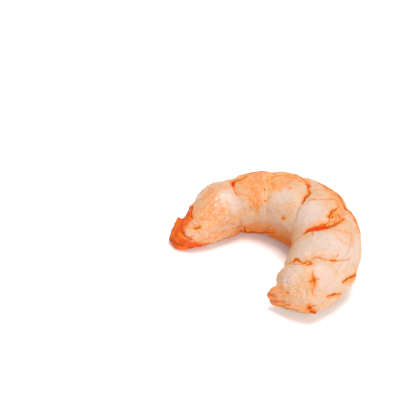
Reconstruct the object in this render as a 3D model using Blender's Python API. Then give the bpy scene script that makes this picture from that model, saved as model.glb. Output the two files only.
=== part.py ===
"""A peeled shrimp tail without its shell, curled up and lying on its side.

The body is one solid. It is swept along a curled centreline, one segment after another
from the torn tail tip round to the cut head end. Each segment swells between two creases,
and both ends are ragged. Places on the body are given as a distance along it from the
tail tip, in millimetres, and an angle around it, in degrees: 0 is the middle of the back,
90 the side that faces up, 180 the belly and 270 the side that it lies on.
"""

import bmesh
import bpy
import numpy as np
from mathutils import noise

MM = 0.001

# The body from the tail tip to the head end: each segment's length, how far it turns the
# body to the left, and the body's half depth towards the back and the belly where it ends.
TAIL_TIP = (-22.53, 5.86)
TAIL_HEADING = 21.5
TAIL_BACK = 1.9
TAIL_BELLY = 2.1
SEGMENTS = (
    ("tail stub", 5.5, -3.0, 3.4, 5.9),
    ("sixth, tail half", 6.5, 9.0, 6.8, 6.3),
    ("sixth, head half", 5.0, -6.5, 7.3, 6.3),
    ("fifth", 9.5, -38.5, 8.1, 7.7),
    ("fourth", 10.5, -32.0, 8.8, 7.9),
    ("third", 12.0, -47.5, 7.8, 8.0),
    ("second", 9.0, -17.5, 7.4, 7.7),
    ("first", 9.5, -1.0, 6.3, 7.4),
)
# The body's thickness as a share of its depth, at the tail tip and at the head end.
TAIL_FLATNESS = 0.92
HEAD_FLATNESS = 0.84
# How square the section is towards the back and the belly. 2 is an ellipse.
BACK_POWER = 2.15
BELLY_POWER = 2.5
# How far the soft underside is pressed flat where it rests.
PRESSED = 0.7

# The ends round off over these lengths, at the back and at the belly, and slant: the back
# leads at the tail tip and the belly leads at the head end.
TAIL_ROUND = (1.0, 8.0)
HEAD_ROUND = (17.0, 4.8)
END_POWER = 2.4
TAIL_SLANT = 35.0
TAIL_SLANT_LENGTH = 9.0
HEAD_SLANT = -7.0
HEAD_SLANT_LENGTH = 14.0

# The creases between segments: how deep each one is, and how far along the body it lies
# at each of these angles from the back to the belly, the same on both sides of the body.
CREASE_ANGLES = np.array((0.0, 45.0, 90.0, 135.0, 180.0))
CREASES = (
    (0.05, (6.8, 6.2, 5.4, 5.6, 7.0)),
    (0.22, (19.0, 18.5, 16.8, 16.6, 16.4)),
    (0.08, (25.2, 25.4, 25.7, 26.4, 28.0)),
    (0.34, (29.6, 31.0, 36.2, 39.2, 45.4)),
    (0.38, (40.4, 42.2, 48.4, 50.2, 52.6)),
    (0.26, (54.0, 55.2, 58.4, 60.0, 59.4)),
)
# How much the flesh swells between the creases.
SWELL = 0.36
SWELL_POWER = 2.6
CREASE_WIDTH = 0.75

# Lumps and hollows: the middle of each along and around the body, its half length, its
# half width around the body in degrees, and its height.
LUMPS = (
    ("corner left at the tail tip", 1.6, 64.0, 0.8, 26.0, 0.9),
    ("notch behind the corner", 3.7, 70.0, 0.9, 38.0, -1.5),
    ("lower edge of the tail stub", 3.0, 214.0, 3.0, 28.0, 0.5),
    ("lobe before the notch", 5.8, 50.0, 0.9, 28.0, 0.4),
    ("belly flap at the head end", 65.3, 187.0, 1.0, 14.0, 2.2),
    ("lower corner of the belly flap", 65.8, 205.0, 1.0, 12.0, 1.8),
    ("neck behind the belly flap", 64.1, 176.0, 0.9, 22.0, -0.6),
    ("belly side before the flap", 61.8, 176.0, 1.6, 26.0, 0.5),
    ("pinched fold inside the curl", 48.6, 180.0, 1.6, 22.0, -0.4),
    ("ledge low on the back", 55.0, 2.0, 1.2, 13.0, 0.6),
    ("nub at the lower side of the cut", 66.2, 305.0, 0.8, 14.0, 0.8),
)
# Folds that run along the body: angle, half width in degrees, height, start and end.
FOLDS = (
    ("belly edge, upper side", 172.0, 9.0, 0.35, 12.0, 62.0),
    ("belly edge, lower side", 215.0, 10.0, 0.3, 12.0, 62.0),
    ("hollow of the belly", 194.0, 9.0, -0.45, 14.0, 60.0),
    ("slit along the back", 47.0, 4.0, -0.35, 39.0, 62.0),
)
# Bits that stick out forwards at the cut head end: angle, half width in degrees, reach.
RAGS = (
    ("rag at the side", 322.0, 14.0, 1.0),
    ("rag under the flap", 214.0, 16.0, 0.8),
    ("rag at the back", 20.0, 14.0, 0.7),
)
UNEVEN_HEIGHT = 0.22
UNEVEN_SIZE = 3.2

# Mesh rows in each stretch between creases, and columns around the body.
ROWS = (11, 13, 11, 12, 13, 11, 20)
COLUMNS = 56
FLESH = (0.86, 0.56, 0.40, 1.0)
ROUGHNESS = 0.35


def ease(share):
    share = np.clip(share, 0.0, 1.0)
    return share * share * (3.0 - 2.0 * share)


def smooth_through(stops, values, at):
    """A smooth curve through the values at the stops, read at any place between them."""
    slopes = np.gradient(values, stops)
    at = np.clip(at, stops[0], stops[-1])
    index = np.clip(np.searchsorted(stops, at, side="right") - 1, 0, len(stops) - 2)
    gap = stops[index + 1] - stops[index]
    share = (at - stops[index]) / gap
    rest = 1.0 - share
    near = values[index] * (1.0 + 2.0 * share) + slopes[index] * gap * share
    far = values[index + 1] * (3.0 - 2.0 * share) - slopes[index + 1] * gap * rest
    return near * rest * rest + far * share * share


def stations():
    """Where the segments meet, and the heading and half depths there."""
    stops, headings, backs, bellies = [0.0], [TAIL_HEADING], [TAIL_BACK], [TAIL_BELLY]
    for _name, length, turn, back, belly in SEGMENTS:
        stops.append(stops[-1] + length)
        headings.append(headings[-1] + turn)
        backs.append(back)
        bellies.append(belly)
    return np.array(stops), np.array(headings), np.array(backs), np.array(bellies)


STOPS, HEADINGS, BACKS, BELLIES = stations()
LENGTH = STOPS[-1]


def centreline(along):
    """The middle of the body: x, y and heading at each distance along it."""
    steps = np.linspace(0.0, LENGTH, 1400)
    heading = np.radians(smooth_through(STOPS, HEADINGS, steps))
    middle = (heading[1:] + heading[:-1]) / 2.0
    gap = steps[1] - steps[0]
    x = TAIL_TIP[0] + np.concatenate(([0.0], np.cumsum(np.cos(middle)) * gap))
    y = TAIL_TIP[1] + np.concatenate(([0.0], np.cumsum(np.sin(middle)) * gap))
    return np.interp(along, steps, x), np.interp(along, steps, y), np.interp(along, steps, heading)


def angle_between(around, angle):
    return np.abs((around - angle + 180.0) % 360.0 - 180.0)


def crease_places(around):
    """How far along the body each crease lies at these angles."""
    from_back = angle_between(around, 0.0)
    places = [np.zeros_like(around)]
    for _depth, stops in CREASES:
        places.append(smooth_through(CREASE_ANGLES, np.array(stops), from_back))
    places.append(np.full_like(around, LENGTH))
    return places


def swelling(along, around):
    """Each segment swells between its creases, and a narrow groove marks each crease."""
    places = crease_places(around)
    height = np.zeros_like(along)
    for start, end in zip(places[:-1], places[1:]):
        share = np.clip((along - start) / (end - start), 0.0, 1.0)
        inside = (along >= start) & (along < end)
        height += np.where(inside, SWELL * (1.0 - np.abs(2.0 * share - 1.0) ** SWELL_POWER), 0.0)
    for place, (depth, _stops) in zip(places[1:-1], CREASES):
        height -= depth * np.exp(-((along - place) / CREASE_WIDTH) ** 2)
    return height - SWELL / 2.0


def lumps(along, around):
    height = np.zeros_like(along)
    for _name, at, angle, half_length, half_width, rise in LUMPS:
        apart = angle_between(around, angle) / half_width
        height += rise * np.exp(-((along - at) / half_length) ** 2 - apart ** 2)
    return height


def folds(along, around):
    height = np.zeros_like(along)
    for _name, angle, half_width, rise, start, end in FOLDS:
        fade = ease((along - start) / 4.0) * ease((end - along) / 4.0)
        height += rise * fade * np.exp(-(angle_between(around, angle) / half_width) ** 2)
    return height


def rags(around):
    reach = np.zeros_like(around)
    for _name, angle, half_width, rise in RAGS:
        reach += rise * np.exp(-(angle_between(around, angle) / half_width) ** 2)
    return reach


def end_round(share):
    share = np.clip(share, 0.0, 1.0)
    return np.maximum(1.0 - (1.0 - share) ** END_POWER, 0.0) ** (1.0 / END_POWER)


def taper(along, backness):
    """How far the section has opened: 0 at both tips, 1 once the ends are rounded off."""
    tail = TAIL_ROUND[1] + (TAIL_ROUND[0] - TAIL_ROUND[1]) * backness
    head = HEAD_ROUND[1] + (HEAD_ROUND[0] - HEAD_ROUND[1]) * backness
    return np.minimum(end_round(along / tail), end_round((LENGTH - along) / head))


def unevenness(points):
    """Slow, shallow dents over the whole body."""
    heights = [noise.noise((x / UNEVEN_SIZE, y / UNEVEN_SIZE, z / UNEVEN_SIZE))
               for x, y, z in points.reshape(-1, 3)]
    return UNEVEN_HEIGHT * np.array(heights).reshape(points.shape[:-1])


def body_surface(along, around):
    """The body's outside in millimetres, at these distances along and angles around it."""
    x, y, heading = centreline(along)
    back = smooth_through(STOPS, BACKS, along)
    belly = smooth_through(STOPS, BELLIES, along)
    flatness = TAIL_FLATNESS + (HEAD_FLATNESS - TAIL_FLATNESS) * along / LENGTH
    half_height = flatness * (back + belly) / 2.0

    angle = np.radians(around)
    outwards, upwards = np.cos(angle), np.sin(angle)
    power = np.where(outwards > 0.0, BACK_POWER, BELLY_POWER)
    depth = np.where(outwards > 0.0, back, belly)
    opened = taper(along, (1.0 + outwards) / 2.0)
    out = depth * np.sign(outwards) * np.abs(outwards) ** (2.0 / power)
    up = half_height * np.sign(upwards) * np.abs(upwards) ** (2.0 / power)

    smooth_place = np.stack((out + 40.0, along, up), axis=-1)
    relief = (swelling(along, around) + lumps(along, around) + folds(along, around)
              + unevenness(smooth_place))
    grow = 1.0 + relief / np.maximum(np.hypot(out, up), 1.0)
    out, up = out * grow * opened, up * grow * opened

    near_tail = ease(1.0 - along / TAIL_SLANT_LENGTH)
    near_head = ease(1.0 - (LENGTH - along) / HEAD_SLANT_LENGTH)
    ahead = out * np.tan(np.radians(TAIL_SLANT)) * near_tail
    ahead = ahead + out * np.tan(np.radians(HEAD_SLANT)) * near_head
    ahead = ahead + rags(around) * ease(1.0 - (LENGTH - along) / 5.0) * opened ** 2
    px = x - np.sin(heading) * out + np.cos(heading) * ahead
    py = y + np.cos(heading) * out + np.sin(heading) * ahead
    pz = np.maximum(half_height - PRESSED + up, 0.0)
    return np.stack((px, py, pz), axis=-1)


def row_places(around):
    """Rows that run along the creases, closer together at creases and at both tips."""
    places = crease_places(around)
    along = []
    for stretch, (start, end) in enumerate(zip(places[:-1], places[1:])):
        share = np.arange(ROWS[stretch]) / ROWS[stretch]
        if stretch == 0:
            share = 1.0 - np.cos(share * np.pi / 2.0)
        elif stretch == len(ROWS) - 1:
            share = np.sin(share * np.pi / 2.0)
        else:
            share = share - 0.5 * np.sin(2.0 * np.pi * share) / (2.0 * np.pi)
        along.append(start + (end - start) * share[:, None])
    return np.concatenate(along)[1:]


def build_body():
    around = np.arange(COLUMNS) * 360.0 / COLUMNS
    along = row_places(around)
    around = np.broadcast_to(around, along.shape)
    points = body_surface(along, around) * MM
    tips = body_surface(np.array([0.0, LENGTH]), np.array([90.0, 90.0])) * MM

    mesh = bmesh.new()
    rings = [[mesh.verts.new(point) for point in ring] for ring in points]
    tail_tip, head_tip = (mesh.verts.new(point) for point in tips)
    for ring, following in zip(rings[:-1], rings[1:]):
        for column in range(COLUMNS):
            beside = (column + 1) % COLUMNS
            mesh.faces.new((ring[column], ring[beside], following[beside], following[column]))
    for column in range(COLUMNS):
        beside = (column + 1) % COLUMNS
        mesh.faces.new((tail_tip, rings[0][beside], rings[0][column]))
        mesh.faces.new((head_tip, rings[-1][column], rings[-1][beside]))
    bmesh.ops.recalc_face_normals(mesh, faces=mesh.faces)
    bmesh.ops.triangulate(mesh, faces=mesh.faces)
    for face in mesh.faces:
        face.smooth = True

    data = bpy.data.meshes.new("shrimp")
    mesh.to_mesh(data)
    mesh.free()
    return data


def flesh_material():
    material = bpy.data.materials.new("flesh")
    material.use_nodes = True
    shader = material.node_tree.nodes["Principled BSDF"]
    shader.inputs["Base Color"].default_value = FLESH
    shader.inputs["Roughness"].default_value = ROUGHNESS
    shader.inputs["Metallic"].default_value = 0.0
    return material


def build():
    for thing in list(bpy.data.objects):
        bpy.data.objects.remove(thing, do_unlink=True)
    shrimp = bpy.data.objects.new("shrimp", build_body())
    shrimp.data.materials.append(flesh_material())
    bpy.context.scene.collection.objects.link(shrimp)


build()
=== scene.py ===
"""The look of the peeled shrimp: its flesh in fine relief, its pigment, and the studio round it.

Places on the body are given as a distance along it from the tail tip, in millimetres, and
an angle around it, in degrees: 0 is the middle of the back, 90 the side that faces up, 180
the belly and 270 the side that it lies on.
"""

import bpy
import numpy as np
from mathutils import Euler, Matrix, Vector, kdtree, noise


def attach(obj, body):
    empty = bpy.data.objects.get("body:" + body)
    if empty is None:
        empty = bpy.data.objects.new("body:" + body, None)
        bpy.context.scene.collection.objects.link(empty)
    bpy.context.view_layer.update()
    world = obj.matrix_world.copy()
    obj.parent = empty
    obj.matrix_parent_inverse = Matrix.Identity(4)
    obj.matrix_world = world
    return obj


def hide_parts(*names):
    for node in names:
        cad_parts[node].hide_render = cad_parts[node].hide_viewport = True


MM = 0.001

# The form of the solid, in millimetres and degrees.
TAIL_TIP = (-22.53, 5.86)
TAIL_HEADING = 21.5
TAIL_BACK = 1.9
TAIL_BELLY = 2.1
# Each segment's length, turn to the left, and half depth to the back and the belly at its end.
SEGMENTS = (
    ("tail stub", 5.5, -3.0, 3.4, 5.9),
    ("sixth, tail half", 6.5, 9.0, 6.8, 6.3),
    ("sixth, head half", 5.0, -6.5, 7.3, 6.3),
    ("fifth", 9.5, -38.5, 8.1, 7.7),
    ("fourth", 10.5, -32.0, 8.8, 7.9),
    ("third", 12.0, -47.5, 7.8, 8.0),
    ("second", 9.0, -17.5, 7.4, 7.7),
    ("first", 9.5, -1.0, 6.3, 7.4),
)
TAIL_FLATNESS = 0.92
HEAD_FLATNESS = 0.84
BACK_POWER = 2.15
BELLY_POWER = 2.5
PRESSED = 0.7
TAIL_ROUND = (1.0, 8.0)
HEAD_ROUND = (17.0, 4.8)
END_POWER = 2.4
TAIL_SLANT = 35.0
TAIL_SLANT_LENGTH = 9.0
HEAD_SLANT = -7.0
HEAD_SLANT_LENGTH = 14.0
# The creases between segments: depth, and place along the body at each of these angles.
CREASE_ANGLES = np.array((0.0, 45.0, 90.0, 135.0, 180.0))
CREASES = (
    (0.05, (6.8, 6.2, 5.4, 5.6, 7.0)),
    (0.22, (19.0, 18.5, 16.8, 16.6, 16.4)),
    (0.08, (25.2, 25.4, 25.7, 26.4, 28.0)),
    (0.34, (29.6, 31.0, 36.2, 39.2, 45.4)),
    (0.38, (40.4, 42.2, 48.4, 50.2, 52.6)),
    (0.26, (54.0, 55.2, 58.4, 60.0, 59.4)),
)
SWELL = 0.36
SWELL_POWER = 2.6
CREASE_WIDTH = 0.75
# Lumps and hollows: middle along and around, half length, half width in degrees, height.
LUMPS = (
    ("corner left at tail tip", 1.6, 64, 0.8, 26, 0.9),
    ("notch behind corner", 3.7, 70.0, 0.9, 38.0, -1.5),
    ("lower edge of tail stub", 3.0, 214, 3.0, 28, 0.5),
    ("lobe before notch", 5.8, 50, 0.9, 28, 0.4),
    ("belly flap at head end", 65.3, 187, 1.0, 14, 2.2),
    ("lower corner of belly flap", 65.8, 205, 1.0, 12, 1.8),
    ("neck behind belly flap", 64.1, 176.0, 0.9, 22.0, -0.6),
    ("belly side before flap", 61.8, 176, 1.6, 26, 0.5),
    ("pinched fold inside curl", 48.6, 180.0, 1.6, 22.0, -0.4),
    ("ledge low on back", 55.0, 2, 1.2, 13, 0.6),
    ("nub at lower side of cut", 66.2, 305, 0.8, 14, 0.8),
)
# Folds along the body: angle, half width in degrees, height, start and end.
FOLDS = (
    ("belly edge, upper side", 172.0, 9, 0.35, 12, 62.0),
    ("belly edge, lower side", 215.0, 10, 0.3, 12, 62.0),
    ("hollow of belly", 194.0, 9.0, -0.45, 14.0, 60.0),
    ("slit along back", 47.0, 4.0, -0.35, 39.0, 62.0),
)
# Rags at the cut head end: angle, half width in degrees, reach.
RAGS = (
    ("rag at side", 322.0, 14.0, 1.0),
    ("rag under flap", 214.0, 16.0, 0.8),
    ("rag at back", 20.0, 14.0, 0.7),
)
UNEVEN_HEIGHT = 0.22
UNEVEN_SIZE = 3.2
UNEVEN_SHIFT = 40.0
FOLD_FADE = 4.0
RAG_LENGTH = 5.0
CENTRELINE_STEPS = 1400

# Mesh rows in each stretch between creases, columns around the upper and the lower side,
# and where the upper side starts and ends.
ROWS = (44, 62, 48, 54, 64, 44, 84)
UPPER_COLUMNS = 178
LOWER_COLUMNS = 60
UPPER_SIDE = (-10.0, 206.0)

# Pigment lines: half width of the dark middle in mm, strength, redness, groove depth in mm,
# and the points that each one runs through, along and around the body. A redness of -1 makes
# a line yellow, and a depth below 0 makes a ridge.
LINES = (
    ("red rim of tail lobe", 0.22, 1.0, 0.75, 0.12,
     ((6.6, 54), (6.0, 70), (5.7, 90), (5.5, 102), (5.7, 108))),
    ("line down tail stub", 0.22, 1.0, 0.85, 0.18,
     ((3.2, 98), (3.5, 118), (3.7, 138), (4.0, 150), (4.5, 163), (5.4, 174))),
    ("fold of tail stub", 0.14, 0.5, 0.7, 0.14,
     ((1.6, 110), (2.2, 132), (2.8, 156), (3.8, 178), (5.2, 190))),
    ("dark edge of tail stub", 0.40, 1.1, 0.55, 0.10,
     ((0.3, 130), (1.0, 172), (2.3, 183), (3.6, 190), (4.6, 195))),
    ("low edge of tail stub", 0.34, 1.0, 0.65, 0.10,
     ((4.5, 198), (5.5, 207), (6.6, 213), (7.6, 208), (8.2, 203))),
    ("comma on sixth", 0.24, 0.95, 0.25, 0.18, ((5.6, 139), (6.2, 144), (6.8, 144))),
    ("red corner of fifth", 0.50, 1.0, 0.95, 0.25, ((18.0, 62), (17.5, 74), (16.9, 86))),
    ("red streak from that corner", 0.34, 0.8, 0.70, 0.10, ((17.8, 72), (19.2, 76), (20.8, 68))),
    ("sixth crease", 0.17, 0.6, 0.60, 0.05, ((16.9, 86), (16.7, 96), (16.9, 108))),
    ("yellow vein of fourth", 0.12, 0.62, -1.0, -0.12,
     ((25.3, 78), (25.8, 94), (26.1, 106), (26.2, 120), (26.2, 133))),
    ("branch of yellow vein", 0.09, 0.50, -1.0, -0.08,
     ((24.7, 96), (25.2, 106), (25.8, 112), (26.2, 122))),
    ("spots beside it", 0.15, 0.7, 0.10, 0.05, ((24.9, 108), (25.1, 112))),
    ("lower end of vein", 0.16, 0.7, 0.15, 0.05, ((25.7, 134), (26.1, 137))),
    ("red fourth crease at back", 0.46, 1.0, 0.95, 0.30,
     ((30.2, 54), (31.3, 60), (32.4, 66), (33.4, 71), (34.6, 79), (35.4, 85))),
    ("fourth crease at side", 0.19, 1.1, 0.15, 0.14,
     ((35.4, 85), (36.4, 90), (36.7, 96), (37.2, 106), (37.6, 113))),
    ("upper edge of third", 0.11, 0.75, 0.20, 0.08,
     ((38.2, 104), (38.6, 98), (39.4, 91), (40.1, 84), (40.5, 75), (40.8, 66), (41.5, 64), (42.6, 67))),
    ("hooked edge of third", 0.20, 1.1, 0.35, 0.14,
     ((42.6, 67), (43.6, 76), (44.1, 82), (44.8, 86), (45.6, 89), (46.0, 85), (45.4, 82))),
    ("lower edge of third", 0.13, 0.7, 0.30, 0.05, ((45.9, 88), (47.3, 90), (47.7, 95), (47.9, 100))),
    ("band by back of third", 0.14, 0.50, 0.25, 0.04,
     ((36.3, 84), (37.2, 72), (37.9, 60), (38.4, 48))),
    ("second band of third", 0.12, 0.40, 0.20, 0.03, ((38.0, 92), (38.8, 82), (39.5, 68), (39.7, 52))),
    ("gash", 1.05, 1.5, 0.95, 0.12,
     ((49.5, 124), (49.4, 119), (49.1, 110), (48.9, 102), (48.5, 95), (48.3, 90))),
    ("thin start of gash", 0.20, 1.1, 0.30, 0.12, ((49.9, 132), (49.6, 125), (49.2, 116))),
    ("dark upper edge of gash", 0.11, 0.7, 0.45, 0.08,
     ((48.8, 114), (48.4, 106), (48.2, 100), (48.0, 93))),
    ("orange end of gash", 0.30, 0.9, 0.25, 0.10,
     ((48.1, 91), (47.7, 85), (47.2, 79), (46.7, 72), (45.8, 64))),
    ("hook under gash", 0.08, 0.45, 0.10, 0.05, ((49.3, 114), (50.8, 111), (52.2, 111))),
    ("lower edge of gash", 0.14, 0.5, 0.10, 0.05, ((49.8, 108), (49.1, 98), (48.7, 88), (48.4, 80))),
    ("net, first strand", 0.11, 0.55, 0.15, 0.04, ((44.1, 82), (44.6, 74), (45.5, 69), (45.9, 62))),
    ("net, second strand", 0.10, 0.50, 0.15, 0.04, ((46.1, 86), (47.1, 80), (46.9, 73), (46.6, 67))),
    ("net, third strand", 0.09, 0.45, 0.15, 0.03, ((44.7, 80), (46.0, 79), (47.8, 82))),
    ("rim along fourth", 0.24, 0.9, 0.55, 0.04,
     ((19.6, 66), (21.4, 61), (23.0, 57), (26.0, 56), (28.9, 56), (30.4, 58))),
    ("line over back", 0.25, 1.05, 0.20, 0.14,
     ((34.4, 53), (36.0, 54), (38.0, 51), (39.4, 46), (40.8, 46), (42.2, 36), (43.6, 33),
      (45.0, 29), (46.6, 25))),
    ("second line over back", 0.17, 1.0, 0.35, 0.08,
     ((35.4, 57), (37.2, 56), (39.0, 50), (40.4, 49), (41.6, 44), (43.4, 38), (45.2, 33), (46.8, 28))),
    ("inner line of back", 0.16, 0.8, 0.40, 0.08,
     ((38.2, 68), (38.9, 62), (39.8, 58), (41.0, 56), (42.8, 50), (44.4, 47))),
    ("edge of slit", 0.08, 0.12, 0.40, 0.08,
     ((44.6, 45), (47.8, 48), (50.2, 48), (52.4, 47), (55.0, 44))),
    ("stray line, upper", 0.07, 0.50, 0.0, 0.03, ((49.0, 67), (49.1, 60), (49.0, 54))),
    ("stray line, long", 0.07, 0.50, 0.0, 0.04,
     ((50.0, 82), (51.0, 78), (51.6, 73), (51.9, 68), (52.0, 56), (51.6, 44))),
    ("second crease by belly", 0.17, 0.95, 0.10, 0.14,
     ((60.0, 148), (60.1, 136), (59.4, 131), (60.0, 121), (60.7, 110), (60.9, 103), (61.0, 98))),
    ("double of that crease", 0.10, 0.38, 0.10, 0.06, ((60.5, 133), (61.3, 122), (61.4, 112), (61.0, 105))),
    ("knot on that crease", 0.22, 1.0, 0.15, 0.16,
     ((60.9, 105), (60.2, 103), (60.1, 99), (60.8, 97), (61.3, 101))),
    ("second crease at side", 0.12, 0.55, 0.20, 0.12,
     ((60.0, 100), (58.8, 97), (58.2, 91), (58.0, 84), (57.8, 76))),
    ("dark part of that crease", 0.20, 1.0, 0.30, 0.18, ((57.8, 76), (57.6, 70), (57.2, 65), (56.8, 60))),
    ("second crease by back", 0.10, 0.60, 0.20, 0.08,
     ((56.8, 60), (56.2, 53), (55.3, 46), (54.7, 42), (54.1, 38))),
    ("line above second crease", 0.07, 0.45, -0.1, 0.04, ((56.3, 64), (55.4, 65), (54.6, 66))),
    ("orange star on head part", 0.32, 1.05, 0.15, 0.12, ((63.4, 87), (64.0, 81), (64.6, 76))),
    ("arms of star", 0.14, 0.70, 0.15, 0.05, ((64.6, 91), (64.3, 85), (63.9, 79), (63.2, 73))),
    ("upper arm of star", 0.10, 0.55, 0.15, 0.05, ((61.2, 94), (62.4, 91), (63.3, 87), (64.0, 80))),
    ("lower arm of star", 0.10, 0.50, 0.15, 0.05, ((64.1, 79), (64.9, 77), (65.6, 74), (66.3, 62))),
    ("orange nub at cut", 0.48, 0.85, 0.40, -0.34, ((67.3, 10), (67.25, -12))),
    ("red nub at cut", 0.52, 0.85, 0.60, -0.50, ((66.8, -32), (66.4, -42), (66.1, -50))),
    ("streak low on back", 0.24, 1.1, 0.20, 0.18, ((59.7, 22), (58.3, 18), (56.6, 12), (55.0, 6))),
    ("ragged spot by cut, upper", 0.20, 0.9, 0.25, 0.12, ((63.4, 13), (62.8, 10), (62.4, 9))),
    ("ragged spot by cut, lower", 0.18, 0.8, 0.25, 0.12, ((61.9, 4), (61.4, 0))),
    ("upper edge of flap", 0.14, 0.60, 0.60, 0.12, ((64.5, 176), (65.0, 182), (65.6, 184), (66.3, 181))),
    ("middle of flap", 0.13, 0.40, 0.60, 0.14, ((65.1, 192), (65.7, 196), (66.4, 193), (67.0, 186))),
    ("lower edge of flap", 0.14, 0.50, 0.50, 0.08, ((65.4, 206), (66.2, 210), (66.9, 204), (67.2, 190))),
    ("spot by flap", 0.16, 0.7, 0.10, 0.03, ((66.7, 150), (66.9, 146))),
    ("spot on fourth, lower", 0.20, 0.55, 0.10, 0.03, ((31.6, 100), (31.9, 97))),
    ("spot on fourth, upper", 0.18, 0.55, 0.10, 0.03, ((29.6, 79), (30.1, 75))),
    ("comma by belly", 0.22, 1.0, 0.10, 0.10, ((34.6, 163), (34.9, 160), (35.4, 158))),
    # A brown rim along the belly's lower edge, partly painted contact shade.
    ("edge at belly", 0.30, 1.05, 0.50, -0.18,
     ((13.0, 206), (17.2, 208), (21.0, 210), (25.6, 209), (29.0, 204), (31.0, 198))),
    ("upper edge of belly", 0.12, 0.22, 0.20, 0.08,
     ((15.6, 181), (19.2, 183), (24.6, 181), (29.6, 179), (34.6, 176), (40.8, 174))),
    # Lines over the back and on the far side.
    ("fifth crease over back", 0.18, 0.7, 0.50, 0.12,
     ((18.2, 60), (19.2, 30), (19.0, 0), (18.6, -40), (17.2, -70))),
    ("fourth crease over back", 0.22, 0.8, 0.60, 0.20,
     ((31.0, 48), (29.9, 24), (29.8, 0), (31.0, -45), (35.6, -85))),
    ("third crease over back", 0.16, 0.7, 0.45, 0.14,
     ((40.8, 36), (40.6, 14), (40.6, -12), (42.4, -45), (46.4, -75))),
    ("third crease, far side", 0.40, 0.9, 0.90, 0.24, ((46.4, -75), (48.4, -92), (49.6, -112))),
    ("second crease over back", 0.22, 0.9, 0.40, 0.14,
     ((54.4, 4), (54.2, -14), (55.0, -40), (57.4, -75), (59.8, -120))),
    ("line along fifth", 0.10, 0.4, 0.30, 0.05,
     ((19.6, 16), (22.4, 8), (25.0, 14), (28.6, 6))),
    ("line along fourth", 0.10, 0.4, 0.30, 0.05,
     ((31.0, -14), (34.2, -6), (37.0, -16), (40.0, -10))),
    ("line along third", 0.10, 0.4, 0.30, 0.05,
     ((42.4, 4), (45.6, 8), (49.4, 2), (53.0, 6))),
    ("band low on fifth", 0.16, 0.5, 0.25, 0.04, ((20.4, -30), (22.6, -52), (24.0, -76))),
    ("band low on fourth", 0.16, 0.5, 0.25, 0.04, ((33.0, -34), (36.0, -56), (38.6, -80))),
    ("band low on third", 0.15, 0.5, 0.25, 0.04, ((43.6, -24), (46.0, -44), (49.4, -60))),
    ("ragged line by cut, far side", 0.20, 0.8, 0.35, 0.10, ((60.6, -8), (62.4, -30), (63.8, -56))),
    # Brown rims low on the flesh, by the table, partly painted contact shade, and finer strands.
    ("lower edge of sixth", 0.18, 0.9, 0.05, 0.02,
     ((7.4, 208), (8.8, 210), (10.2, 211), (11.9, 212), (13.5, 211))),
    ("fold above that edge", 0.08, 0.5, 0.10, 0.14,
     ((8.8, 177), (9.9, 180), (12.4, 182), (15.9, 190), (17.7, 200))),
    ("notch in edge of belly", 0.18, 1.0, 0.10, 0.16, ((17.6, 198), (17.8, 206), (17.9, 213))),
    # Partly painted contact shade at the lower rim of the cut.
    ("lower rim of cut", 0.26, 0.9, 0.05, 0.0,
     ((66.2, 205), (66.7, 216), (66.7, 232), (66.7, 250), (66.6, 276))),
    ("net, long strand", 0.10, 0.95, 0.05, 0.06, ((44.3, 82), (44.8, 77), (45.3, 71), (45.6, 62))),
    ("net, blotch", 0.18, 0.90, 0.0, 0.04, ((45.4, 67), (45.5, 61))),
    ("net, upper strand", 0.08, 0.80, 0.10, 0.05, ((43.4, 70), (43.8, 63), (44.2, 55))),
    ("net, curl", 0.08, 0.85, 0.05, 0.05, ((45.8, 88), (46.4, 90), (46.9, 87), (46.5, 84))),
    ("stray line under gash", 0.07, 0.60, 0.0, 0.04, ((49.3, 85), (49.2, 74), (49.0, 64), (49.0, 54))),
    ("ragged line by cut", 0.12, 0.85, 0.20, 0.08,
     ((64.3, 20), (63.4, 13), (62.6, 8), (61.6, 3), (60.6, -1))),
)
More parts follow.
